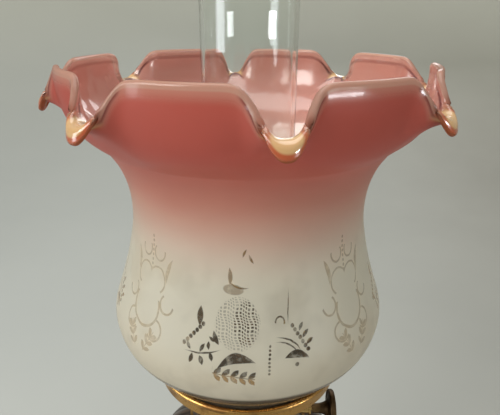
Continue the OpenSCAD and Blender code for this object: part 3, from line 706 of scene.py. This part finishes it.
@dataclass(frozen=True)
class GlossSkin:
    """The shade's inner skin: clear gloss over a paler pink layer, painted light that stands in for light coming
    through the wall, with amber dips.
    """

    name: str
    foot_z: float
    backlit_casing: Colour = (0.54, 0.26, 0.21)
    straw: Colour = (0.56, 0.34, 0.15)
    amber: Colour = (0.40, 0.075, 0.02)
    garnet: Colour = (0.12, 0.02, 0.022)

    @lru_cache
    def material(self) -> bpy.types.Material:
        """Builds the finish."""
        graph = Graph(self.name)
        at, _, _, z = graph.place()
        ripple = graph.noise(at, 42.0, 2.0)
        normal = graph.bump(ripple, 0.0030, 0.5)
        veil = graph.clear((0.99, 0.985, 0.98))
        height = (z - self.foot_z) / MM
        lip, dip = graph.drawn("lip"), graph.drawn("dip")
        dipped = dip.ramp(0.45, 0.8)
        tongue = lip.ramp(7.9, 6.9) * dipped
        fold = lip.ramp(6.6, 7.8) * lip.ramp(10.5, 8.6) * dipped
        rim = lip.ramp(2.0, 0.9)
        line = lip.ramp(1.6, 2.3) * lip.ramp(4.2, 3.1) * (1.0 - dipped) * (0.6 + 0.4 * dip.ramp(0.02, 0.2))
        # Painted light: the upper inner skin is a paler pink than the outer rose, standing in for light coming
        # through the wall.
        tint = graph.blend(height.ramp(90.0, 135.0), (0.78, 0.75, 0.68), self.backlit_casing)
        tint = graph.blend(tongue, tint, self.straw)
        tint = graph.blend(fold, tint, self.garnet)
        tint = graph.blend(line, tint, self.garnet)
        tint = graph.blend(rim * dipped, tint, self.amber)
        backlit_casing = graph.principled(Base_Color=tint, Roughness=0.25)
        share = (height.ramp(60.0, 130.0) * 0.56).most(tongue * 0.86).most(line * 0.8).most(fold * 0.85)
        body = graph.mixed(share, veil, backlit_casing)
        return graph.finished(graph.mixed(graph.fresnel(1.5, Normal=normal), body,
                                          graph.mirror(0.05, Normal=normal)))


# ---------------------------------------------------------------- meshes


def spline(points: Sequence[Point], steps: int) -> np.ndarray:
    """A smooth curve through points.

    Args:
        points: the points that it passes through.
        steps: stretches between each two of them.

    Returns:
        An array of points along the curve.
    """
    given = np.array(points, float)
    line = []
    for i in range(len(given) - 1):
        a, b, c = given[max(i - 1, 0)], given[i], given[i + 1]
        d = given[min(i + 2, len(given) - 1)]
        for t in np.arange(steps) / steps:
            line.append(0.5 * (2 * b + (c - a) * t + (2 * a - 5 * b + 4 * c - d) * t**2
                               + (3 * b - a - 3 * c + d) * t**3))
    line.append(given[-1])
    return np.array(line)


def ease(t: float) -> float:
    """Smooth rise from 0 to 1 along half a cosine."""
    return (1 - math.cos(math.pi * t)) / 2


def mix(a: float, b: float, t: float) -> float:
    """The number that lies a share t of the way from a to b."""
    return a + (b - a) * t


def ring_mesh(name: str, rows: np.ndarray, closed: bool = True) -> bpy.types.Object:
    """A smooth skin over rings of points.

    Args:
        name: the object's name.
        rows: an array of rings by points by three coordinates.
        closed: True if the last ring joins the first; else end rings of no radius close the skin.

    Returns:
        The object, in the scene.
    """
    count, around, _ = rows.shape
    below = np.arange(count if closed else count - 1)[:, None]
    here = np.arange(around)[None, :]
    above, after = (below + 1) % count, (here + 1) % around
    corners = np.stack([below * around + here, below * around + after,
                        above * around + after, above * around + here], -1).reshape(-1, 4)
    mesh = bpy.data.meshes.new(name)
    mesh.from_pydata(rows.reshape(-1, 3).tolist(), [], corners.tolist())
    mesh.validate()
    mesh.polygons.foreach_set("use_smooth", np.ones(len(mesh.polygons), bool))
    thing = bpy.data.objects.new(name, mesh)
    bpy.context.scene.collection.objects.link(thing)
    return thing


def turned_rows(outline: np.ndarray, around: int,
                swell: Callable[[np.ndarray, np.ndarray], np.ndarray] | None = None) -> np.ndarray:
    """Rings of points for an outline turned about the vertical axis.

    Args:
        outline: radius and height of each ring.
        around: points in a ring.
        swell: gives what is added to the radius, from the outline and the angles.

    Returns:
        An array for ring_mesh.
    """
    angles = np.arange(around) * 2 * math.pi / around
    radius = np.repeat(outline[:, :1], around, 1)
    if swell is not None:
        radius = radius + swell(outline, angles)
    height = np.repeat(outline[:, 1:2], around, 1)
    return np.stack([radius * np.cos(angles), radius * np.sin(angles), height], -1)


def merge_poles(thing: bpy.types.Object, reach: float = 1e-6) -> None:
    """Joins points that lie together, such as those of a ring of no radius."""
    work = bmesh.new()
    work.from_mesh(thing.data)
    bmesh.ops.remove_doubles(work, verts=work.verts, dist=reach)
    work.to_mesh(thing.data)
    work.free()


def put_on(thing: bpy.types.Object, *materials: bpy.types.Material) -> None:
    """Gives an object these materials in place of its own."""
    thing.data.materials.clear()
    for material in materials:
        thing.data.materials.append(material)


def dress(node: str, material: bpy.types.Material, crease: float = 32.0) -> None:
    """Gives a frame node its finish and smooth shading.

    Args:
        node: the node's name.
        material: its finish.
        crease: edges sharper than this, in degrees, stay crisp.
    """
    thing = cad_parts[node]
    slots = thing.material_slots
    if not slots:
        thing.data.materials.append(material)
    for entry in slots:
        entry.material = material
    thing.data.polygons.foreach_set("use_smooth", np.ones(len(thing.data.polygons), bool))
    thing.data.set_sharp_from_angle(angle=math.radians(crease))


def stand_in(thing: bpy.types.Object, node: str, body: str) -> None:
    """Lets a fine piece ride on a body in place of a frame node, which it hides."""
    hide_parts(node)
    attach(thing, body)


# ---------------------------------------------------------------- the lamp's finishes

BRIGHT = Brass("lacquered_brass", bright=(0.48, 0.27, 0.085), tarnish=(0.19, 0.09, 0.03), age=0.35, polish=0.22,
               darkened_within=0.0514)
AGED = Brass("aged_brass", bright=(0.52, 0.34, 0.13), age=0.55, polish=0.24)
SMOKED = Brass("smoked_brass", bright=(0.20, 0.125, 0.055), tarnish=(0.035, 0.020, 0.012), age=0.8, polish=0.28)
COPPER = Brass("aged_copper", bright=(0.55, 0.25, 0.12), tarnish=(0.16, 0.06, 0.03), age=0.5, polish=0.24)
BROWN = Patina("brown_patina")
STEEL = Steel("dull_steel")
IRON = Steel("cast_iron", metal=(0.09, 0.085, 0.085), decay=0.6, metallic=0.6)
GLAZE = Glaze("black_glaze")
BAIZE = Baize("green_baize")


class Stance(Enum):
    """Which of the two wicks and winders a piece belongs to."""

    FRONT = "front"
    REAR = "rear"


@dataclass
class Base:
    """The pottery plinth with its iron weight and baize pad."""

    edge: float = 0.0007
    around: int = 160

    def build(self) -> None:
        """Dresses the plinth and its hidden hardware, and makes the pad."""
        dress("base_plinth", GLAZE.material())
        dress("base_weight", IRON.material())
        dress("base_washer", STEEL.material())
        dress("base_nut", AGED.material(), 20.0)
        dress("tie_rod", STEEL.material())
        self.pad()
        LOG.info("base: plinth, weight, tie hardware and baize pad")

    def pad(self) -> None:
        """A disc of baize with a cut edge that has frayed a little."""
        low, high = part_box("base_pad")
        radius = high.x - 0.0002
        outline = np.array([(0.0, low.z), (radius - self.edge, low.z), (radius, low.z + self.edge),
                            (radius, high.z - self.edge), (radius - self.edge, high.z), (0.0, high.z)])

        def fray(line: np.ndarray, angles: np.ndarray) -> np.ndarray:
            """A small waver at the rim."""
            waver = 0.00012 * np.sin(angles * 37) + 0.0001 * np.sin(angles * 61 + 1.0)
            return np.where(line[:, :1] > 0.001, waver[None, :] - 0.0002, 0.0)

        disc = ring_mesh("pad_of_baize", turned_rows(outline, self.around, fray), closed=False)
        merge_poles(disc)
        put_on(disc, BAIZE.material())
        stand_in(disc, "base_pad", "stand")


@dataclass
class Column:
    """The fluted column between its two castings."""

    def build(self) -> None:
        """Dresses the column's three pieces."""
        dress("column_foot", AGED.material())
        dress("column_shaft", COPPER.material(), 40.0)
        dress("column_cap", AGED.material())
        LOG.info("column: foot, fluted shaft and cap")


@dataclass
class Font:
    """The oil reservoir, raised in shallow ribs, with its cup and collar."""

    ribs: int = 32
    rib_depth: float = 0.0009
    wall: float = 0.0014
    neck_rise: float = 0.006
    equator_share: float = 51 / 111
    points_per_rib: int = 14
    rings: int = 72

    def radius_at(self, rise: float, top: float, widest: float, neck: float) -> float:
        """The font's outer radius at a height above its base.

        Args:
            rise: the height.
            top: the whole height.
            widest: the largest radius.
            neck: the neck's radius.

        Returns:
            The radius.
        """
        equator = top * self.equator_share
        shoulder = (top - equator - self.neck_rise) / math.sqrt(1 - (neck / widest) ** 2)
        reach = equator + 0.001 if rise < equator else shoulder
        return widest * math.sqrt(max(0.0, 1 - ((rise - equator) / reach) ** 2))

    def build(self) -> None:
        """Makes the ribbed font and dresses the cup and collar."""
        low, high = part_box("font")
        top, widest = high.z - low.z, high.x
        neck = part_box("font_collar")[1].x - 0.0041
        shoulder = top - self.neck_rise
        rises = [shoulder * ease(i / self.rings) for i in range(self.rings + 1)]
        outer = [(self.radius_at(h, top, widest, neck), low.z + h) for h in rises]
        inner = [(r - self.wall * 1.15, z) for r, z in outer if low.z + 0.002 < z < low.z + shoulder - 0.0006]
        bore = neck - self.wall
        outline = np.array([(0.0, low.z), *outer, (neck, high.z), (bore, high.z),
                            (bore, low.z + shoulder - 0.001), *reversed(inner), (0.0, inner[0][1])])
        last_outer = len(outer)
        equator = top * self.equator_share

        def raise_ribs(line: np.ndarray, angles: np.ndarray) -> np.ndarray:
            """Sinks the valleys between ribs; the ribs die out at the neck, the middle and the inner wall."""
            rise = line[:, 1] - low.z
            up = np.clip((rise - equator * 0.96) / (top * 0.12), 0, 1)
            down = np.clip((shoulder - 0.0035 - rise) / (top * 0.06), 0, 1)
            strength = (up * up * (3 - 2 * up)) * (down * down * (3 - 2 * down))
            strength[last_outer + 1:] = 0
            valley = 1 - np.abs(np.cos(angles * self.ribs / 2)) ** 0.7
            return -self.rib_depth * strength[:, None] * valley[None, :]

        around = self.ribs * self.points_per_rib
        dome = ring_mesh("ribbed_font", turned_rows(outline, around, raise_ribs), closed=False)
        merge_poles(dome)
        put_on(dome, BROWN.material())
        stand_in(dome, "font", "stand")
        dress("font_cup", BROWN.material())
        dress("font_collar", AGED.material())
        LOG.info("font: ribbed reservoir, cup and collar")


@dataclass
class Burner:
    """The duplex burner: floor, drum, wick tubes and wicks, winders and extinguisher."""

    wick_corner: float = 0.0011
    wick_rings: int = 90

    def build(self) -> None:
        """Dresses the burner's brass and makes both wicks."""
        for finish, nodes in (
            (AGED, ("burner_base", "winder_bushes", "extinguisher_bracket", "extinguisher_lever")),
            (SMOKED, ("burner_drum", "draught_plate", "extinguisher_sleeves")),
            (STEEL, ("extinguisher_pin", "drum_screws")),
        ):
            for node in nodes:
                dress(node, finish.material())
        for stance in Stance:
            self.winder(stance)
            self.wick(stance)
        LOG.info("burner: drum, tubes, two wicks, two winders and extinguisher")

    def winder(self, stance: Stance) -> None:
        """Dresses one winder, from its thumb wheel to its spurs."""
        dress(f"wick_tube_{stance.value}", SMOKED.material())
        dress(f"winder_shaft_{stance.value}", AGED.material())
        dress(f"winder_wheel_{stance.value}", SMOKED.material())
        dress(f"spur_wheels_{stance.value}", AGED.material(), 20.0)

    def wick(self, stance: Stance) -> None:
        """Makes one flat braided wick with round selvedges and a trimmed top."""
        name = f"wick_{stance.value}"
        low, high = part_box(name)
        half_w, half_t = (high.x - low.x) / 2, (high.y - low.y) / 2
        middle = (high.y + low.y) / 2
        arc = np.linspace(-math.pi / 2, math.pi / 2, 7)
        right = [(half_w - half_t + half_t * math.cos(a), half_t * math.sin(a)) for a in arc]
        flat = np.linspace(half_w - half_t, half_t - half_w, 22)[1:-1]
        top_side = [(x, half_t) for x in flat]
        left = [(-x, -y) for x, y in right]
        section = np.array(right + top_side + left + [(-x, -half_t) for x in flat])
        heights = np.linspace(low.z, high.z, self.wick_rings)
        rows = []
        for height in heights:
            crown = min(1.0, (high.z - height) / self.wick_corner, (height - low.z) / self.wick_corner)
            shrink = 0.86 + 0.14 * math.sqrt(max(0.0, crown * (2 - crown)))
            rows.append([(x * (0.985 + 0.015 * shrink), middle + y * shrink, height) for x, y in section])
        start = [(x * 0.98, middle + y * 0.02, low.z) for x, y in section]
        end = [(x * 0.98, middle + y * 0.02, high.z) for x, y in section]
        braid = ring_mesh(f"{name}_braid", np.array([start, *rows, end]), closed=False)
        self.seal(braid)
        put_on(braid, WovenCotton("braided_cotton", high.z).material())
        stand_in(braid, name, name)

    def seal(self, thing: bpy.types.Object) -> None:
        """Fills a mesh's open ends."""
        work = bmesh.new()
        work.from_mesh(thing.data)
        bmesh.ops.holes_fill(work, edges=[e for e in work.edges if e.is_boundary])
        bmesh.ops.recalc_face_normals(work, faces=work.faces)
        work.to_mesh(thing.data)
        work.free()


@dataclass
class Gallery:
    """The sprung gallery: skirt, shade ring, chimney coronet and flame deflector."""

    def build(self) -> None:
        """Dresses the gallery's pieces."""
        dress("gallery_skirt", AGED.material())
        dress("shade_gallery", BRIGHT.material())
        dress("chimney_coronet", SMOKED.material())
        dress("deflector_cone", SMOKED.material())
        dress("gallery_rivets", COPPER.material())
        dress("cone_rivets", COPPER.material())
        LOG.info("gallery: skirt, ring, coronet and cone")


@dataclass
class Chimney:
    """The blown glass chimney."""

    wall: float = 0.002
    foot_straight: float = 0.020
    bulge_at: float = 0.056
    tube_at: float = 0.114
    foot_r: float = 0.03175
    tube_r: float = 0.0228
    around: int = 144
    rings: int = 60

    def radius_at(self, rise: float, bulge_r: float) -> float:
        """The outer radius at a height above the foot."""
        if rise < self.foot_straight:
            return self.foot_r
        if rise < self.bulge_at:
            share = ease((rise - self.foot_straight) / (self.bulge_at - self.foot_straight))
            return mix(self.foot_r, bulge_r, share)
        if rise < self.tube_at:
            return mix(bulge_r, self.tube_r, ease((rise - self.bulge_at) / (self.tube_at - self.bulge_at)))
        return self.tube_r

    def build(self) -> None:
        """Makes the chimney with fire-polished edges."""
        low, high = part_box("chimney")
        bulge_r = high.x
        half = self.wall / 2
        rises = np.linspace(half, high.z - low.z - half, self.rings * 2)
        outer = [(self.radius_at(h, bulge_r), low.z + h) for h in rises]
        inner = [(r - self.wall, z) for r, z in reversed(outer)]
        turns = np.linspace(0, math.pi, 9)[1:-1]
        lip = [(outer[-1][0] - half + half * math.cos(a), outer[-1][1] + half * math.sin(a)) for a in turns]
        foot = [(inner[-1][0] + half - half * math.cos(a), inner[-1][1] - half * math.sin(a)) for a in turns]
        outline = np.array([*outer, *lip, *inner, *foot])
        glass = ring_mesh("blown_chimney", turned_rows(outline, self.around))
        put_on(glass, ClearGlass("clear_glass").material())
        stand_in(glass, "chimney", "chimney")
        LOG.info("chimney: blown glass, %d rings", len(outline))


@dataclass
class Shade:
    """The glass shade: a round bowl and waist that open into a frill of lobes and spouted dips."""

    foot_r: float = 0.0496
    wall: float = 0.0028
    waist_r: float = 0.059
    lobe_r: float = 0.0864
    dip_r: float = 0.0976
    height: float = 0.170
    lobes: int = 8
    turn_deg: float = 7.0
    sharpness: float = 7.6
    roundness: float = 1.3
    around: int = 480
    crowding: float = 0.55
    body_steps: int = 3
    frill_steps: int = 7
    bulge_r: float = 0.0722

    def wall_points(self) -> tuple[list[Point], list[Point], list[Point]]:
        """The wall's middle line: the body, then up to a lobe's top, or out to a dip's lip."""
        half = self.wall / 2
        foot, bulge, waist = self.foot_r - half, self.bulge_r - half, self.waist_r - half
        flare, flare_z = waist + 0.0108, 0.1346
        body = [(foot, 0.0), (foot, 0.007), (foot + 0.0017, 0.0116),
                *[(mix(foot, bulge, t), z) for t, z in ((0.28, 0.0164), (0.5, 0.0203), (0.68, 0.0246),
                                                       (0.85, 0.030), (0.955, 0.0365), (1.0, 0.044))],
                *[(mix(waist, bulge, t), z) for t, z in ((0.91, 0.0507), (0.72, 0.058), (0.53, 0.0656),
                                                        (0.34, 0.074), (0.167, 0.0836), (0.03, 0.0938))],
                (waist, 0.102), (waist + 0.0006, 0.1103), (waist + 0.0024, 0.1186),
                (waist + 0.0058, 0.127), (flare, flare_z)]
        lobe_r, dip_r = self.lobe_r - half, self.dip_r - half
        lobe = [(flare, flare_z), (mix(flare, lobe_r, 0.5), flare_z + 0.0066),
                (mix(flare, lobe_r, 0.82), flare_z + 0.014),
                (lobe_r - 0.0004, mix(flare_z, self.height, 0.62)),
                (lobe_r + 0.0004, mix(flare_z, self.height, 0.82)), (lobe_r, self.height - half)]
        dip = [(flare, flare_z), (mix(flare, dip_r, 0.33), flare_z + 0.0084),
               (mix(flare, dip_r, 0.62), flare_z + 0.0154), (mix(flare, dip_r, 0.84), flare_z + 0.0186),
               (dip_r - 0.0009, flare_z + 0.018), (dip_r, flare_z + 0.0146)]
        return body, lobe, dip

    def middle(self, foot_z: float) -> tuple[np.ndarray, np.ndarray, np.ndarray]:
        """Points of the wall's middle, how far each is below the lip, in millimetres, and how much of a
        dip each column is."""
        body, lobe, dip = self.wall_points()
        body_line = spline(body, self.body_steps)
        lobe_line = spline(lobe, self.frill_steps)[1:]
        dip_line = spline(dip, self.frill_steps)[1:]
        steps = np.arange(self.around) * 2 * math.pi / self.around
        angles = steps - self.crowding * np.sin(self.lobes * steps) / self.lobes
        share = 1 - (1 - ((1 + np.cos(self.lobes * angles)) / 2) ** self.sharpness) ** self.roundness
        plain = np.repeat(body_line[:, None, :], self.around, 1)
        frill = lobe_line[:, None, :] * (1 - share)[None, :, None] + dip_line[:, None, :] * share[None, :, None]
        flat = np.concatenate([plain, frill])
        facing = angles - math.pi / 2 + math.radians(self.turn_deg)
        points = np.stack([flat[..., 0] * np.cos(facing), flat[..., 0] * np.sin(facing),
                           flat[..., 1] + foot_z], -1)
        lengths = np.linalg.norm(np.diff(points, axis=0), axis=-1)
        to_lip = np.concatenate([np.cumsum(lengths[::-1], 0)[::-1], np.zeros((1, self.around))]) / MM
        return points, to_lip, share

    def build(self) -> None:
        """Makes the shade as one closed shell with a round lip, satin outside and gloss inside."""
        low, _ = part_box("shade")
        points, to_lip, share = self.middle(low.z)
        up = np.gradient(points, axis=0)
        along = (np.roll(points, -1, 1) - np.roll(points, 1, 1)) / 2
        normal = np.cross(along, up)
        normal /= np.linalg.norm(normal, axis=-1, keepdims=True)
        level = np.clip(1 - (points[..., 2:3] - low.z) / 0.006, 0, 1)
        flat = normal * np.array([1.0, 1.0, 0.0])
        normal = normal * (1 - level) + flat * level
        normal /= np.linalg.norm(normal, axis=-1, keepdims=True)
        half = self.wall / 2
        outer, inner = points + normal * half, points - normal * half
        ahead = up[-1] / np.linalg.norm(up[-1], axis=-1, keepdims=True)
        arcs = np.linspace(0, math.pi, 9)[1:-1]
        lip = np.stack([points[-1] + half * (math.cos(a) * normal[-1] + math.sin(a) * ahead) for a in arcs])
        rows = np.concatenate([outer, lip, inner[::-1]])
        shell = ring_mesh("frilled_shade", rows)
        distance = np.concatenate([to_lip, np.zeros((len(arcs), self.around)), to_lip[::-1]])
        for label, values in (("lip", distance), ("dip", np.tile(share, (len(rows), 1)))):
            shell.data.attributes.new(label, "FLOAT", "POINT").data.foreach_set(
                "value", values.astype(np.float32).ravel())
        put_on(shell, RoseGlass("rose_satin_glass", low.z, self.bulge_r).material(),
               GlossSkin("gloss_inner_skin", low.z).material())
        ring_of = np.arange(len(shell.data.polygons)) // self.around
        first_inner = len(outer) + len(arcs) - 1
        inside = (ring_of >= first_inner) & (ring_of < len(rows) - 1)
        shell.data.polygons.foreach_set("material_index", inside.astype(np.int32))
        stand_in(shell, "shade", "shade")
        LOG.info("shade: %d rings of %d points", len(rows), self.around)


@dataclass
class Studio:
    """Plain floor, soft lights and the camera."""

    ring_z: float
    eye_back: float = 0.235
    eye_rise: float = 0.1826
    pitch: float = 21.75
    yaw: float = 0.2
    roll: float = 0.35
    lens: float = 34.56
    sweep_r: float = 3.2
    bend_r: float = 2.2

    def build(self) -> None:
        """Sets the stage."""
        self.camera()
        self.floor()
        self.world()
        self.lamp("key", (-1.25, -0.95, 1.35), (0.9, 0.9), 23.0, (1.0, 0.97, 0.92))
        self.lamp("window", (0.93, -0.72, 0.48), (0.34, 0.07), 3.6, (0.95, 0.97, 1.0))
        self.lamp("strip", (-1.2, -0.45, 0.55), (0.5, 0.5), 4.5, (0.90, 0.95, 1.0))
        self.lamp("ceiling", (0.0, 0.15, 2.0), (1.3, 1.3), 16.0, (1.0, 0.98, 0.95))
        self.lamp("rear", (0.5, 1.6, 1.2), (0.9, 0.9), 8.0, (0.97, 0.98, 1.0))
        LOG.info("studio: floor, lamps and camera")

    def camera(self) -> None:
        """Makes the camera that looks down on the shade."""
        data = bpy.data.cameras.new("camera")
        data.lens = self.lens
        data.sensor_width = 36.0
        data.clip_start = 0.01
        eye = bpy.data.objects.new("camera", data)
        bpy.context.scene.collection.objects.link(eye)
        eye.location = (0.0, -self.eye_back, self.ring_z + self.eye_rise)
        pan = Matrix.Rotation(math.radians(-self.yaw), 4, "Z")
        tilt = Matrix.Rotation(math.radians(90.0 - self.pitch), 4, "X")
        twist = Matrix.Rotation(math.radians(self.roll), 4, "Z")
        eye.rotation_euler = (pan @ tilt @ twist).to_euler()
        bpy.context.scene.camera = eye

    def floor(self) -> None:
        """Makes a pale floor that sweeps up into a round backdrop, painted darker towards the right as painted
        shade and lighter up the backdrop as painted light.
        """
        bend = [(self.sweep_r - self.bend_r * (1 - math.cos(a)), self.bend_r * (1 - math.sin(a)))
                for a in np.linspace(math.pi / 2, 0, 24)]
        outline = np.array([(0.0, 0.0), (0.4, 0.0), *bend])
        ground = ring_mesh("sweep", turned_rows(outline, 128), closed=False)
        merge_poles(ground)
        graph = Graph("pale_sweep")
        at, x, _, z = graph.place()
        tone = graph.noise(at, 3.0, 3.0)
        # Painted light: the backdrop, by this height mask, is painted lighter than the floor.
        wall = z.ramp(-0.1, 0.9)
        # Painted shade: the floor is painted darker towards the right.
        low = graph.blend(x.ramp(-0.5, 1.3), (0.335, 0.35, 0.34), (0.18, 0.17, 0.145))
        colour = graph.blend(wall, low, (0.60, 0.60, 0.535))
        colour = graph.blend(tone * 0.12, colour, (0.75, 0.75, 0.70))
        put_on(ground, graph.finished(graph.principled(Base_Color=colour, Roughness=0.9)))

    def world(self) -> None:
        """Fills the room with plain soft light."""
        sky = bpy.data.worlds.new("room")
        sky.use_nodes = True
        glow = sky.node_tree.nodes["Background"]
        glow.inputs["Color"].default_value = (0.62, 0.63, 0.58, 1.0)
        glow.inputs["Strength"].default_value = 0.85
        bpy.context.scene.world = sky
        bpy.context.scene.view_settings.view_transform = "Standard"

    def lamp(self, name: str, place: tuple[float, float, float], size: Point, power: float,
             colour: Colour) -> None:
        """Makes one soft light that faces the lamp.

        Args:
            name: its name.
            place: where it hangs, in metres.
            size: its width and height.
            power: in watts.
            colour: of its light.
        """
        data = bpy.data.lights.new(name, "AREA")
        data.energy = power
        data.shape = "RECTANGLE"
        data.size, data.size_y = size
        data.color = colour
        light = bpy.data.objects.new(name, data)
        bpy.context.scene.collection.objects.link(light)
        light.location = place
        aim = Vector((0.0, 0.0, self.ring_z + 0.05)) - Vector(place)
        light.rotation_euler = aim.to_track_quat("-Z", "Y").to_euler()


def main() -> None:
    """Builds the lamp's sub-assemblies in order, from the floor up."""
    logging.basicConfig(level=logging.INFO, format="%(name)s: %(message)s")
    ring_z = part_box("shade_gallery")[1].z - 0.0015
    Studio(ring_z).build()
    for part in (Base(), Column(), Font(), Burner(), Gallery(), Chimney(), Shade()):
        part.build()
    LOG.info("size: written")


if __name__ == "__main__":
    main()
